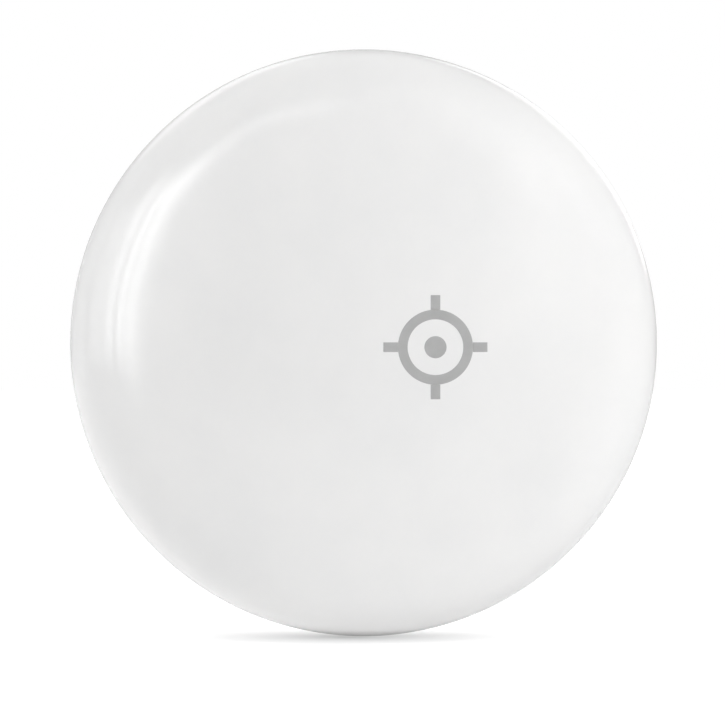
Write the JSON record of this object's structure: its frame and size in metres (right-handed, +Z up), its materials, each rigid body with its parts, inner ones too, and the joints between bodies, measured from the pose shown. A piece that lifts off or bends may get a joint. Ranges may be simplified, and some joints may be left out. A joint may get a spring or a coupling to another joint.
{
  "type": "bluetooth tracker tag",
  "caption": "Round pebble tracker tag: domed front pressed as a button over a board and switch, coin cell under a bayonet door in the flat back.",
  "frame": {"origin": "middle of the tag's box, on the disc's axis", "axes": "the tag stands on its rim: +Z up, +X to the right seen from the front, the domed front faces -Y and the flat back faces +Y along the disc's axis"},
  "size_m": [0.038, 0.0092, 0.038],
  "materials": {
    "shell_plastic": "satin",
    "grey_ink": "satin",
    "dark_rubber": "matte",
    "nickel_steel": "satin",
    "grey_nylon": "satin",
    "cell_filling": "matte",
    "green_board": "satin",
    "screw_steel": "satin",
    "chip_resin": "matte",
    "plated_lid": "satin",
    "pale_ceramic": "matte",
    "dark_ferrite": "matte",
    "tan_ceramic": "matte",
    "black_plastic": "matte",
    "gold_contact": "satin",
    "spring_steel": "polished"
  },
  "bodies": {
    "case": {"back_cover": "shell_plastic", "case_seal": "dark_rubber", "circuit_board": "green_board", "board_screws": "screw_steel", "soc_chip": "chip_resin", "motion_chip": "chip_resin", "radio_crystal": "plated_lid", "clock_crystal": "plated_lid", "chip_antenna": "pale_ceramic", "chip_inductor": "dark_ferrite", "chip_capacitors": "tan_ceramic", "chip_resistors": "chip_resin", "buzzer_case": "black_plastic", "buzzer_lid": "plated_lid", "switch_body": "black_plastic", "switch_frame": "plated_lid", "switch_terminals": "gold_contact", "positive_contact": "gold_contact", "negative_contact": "gold_contact"},
    "press_cover": {"front_cover": "shell_plastic", "printed_symbol": "grey_ink", "button_pad": "dark_rubber"},
    "switch_stem": {"switch_plunger": "black_plastic", "switch_dome": "spring_steel"},
    "seal_ring": {"door_seal": "dark_rubber"},
    "door": {"battery_door": "shell_plastic"},
    "coin_cell": {"cell_can": "nickel_steel", "cell_cap": "nickel_steel", "cell_gasket": "grey_nylon", "cell_electrodes": "cell_filling"}
  },
  "joints": [
    {"name": "cover_press", "type": "slide", "parent": "case", "child": "press_cover", "axis": [0, 1, 0], "range_m": [0, 0.00025], "stiffness_N_per_m": 6000},
    {"name": "stem_press", "type": "slide", "parent": "case", "child": "switch_stem", "axis": [0, 1, 0], "range_m": [0, 0.00025]},
    {"name": "door_lift", "type": "slide", "parent": "case", "child": "seal_ring", "axis": [0, 1, 0], "range_m": [0, 0.016]},
    {"name": "door_turn", "type": "hinge", "parent": "seal_ring", "child": "door", "pos_m": [0, 0, 0], "axis": [0, -1, 0], "range_deg": [0, 45]},
    {"name": "cell_out", "type": "slide", "parent": "case", "child": "coin_cell", "axis": [0, 1, 0], "range_m": [0, 0.008]}
  ],
  "couplings": [
    {"joint": "stem_press", "follows": "cover_press", "ratio": 1},
    {"joint": "cell_out", "follows": "door_lift", "ratio": 0.5}
  ]
}
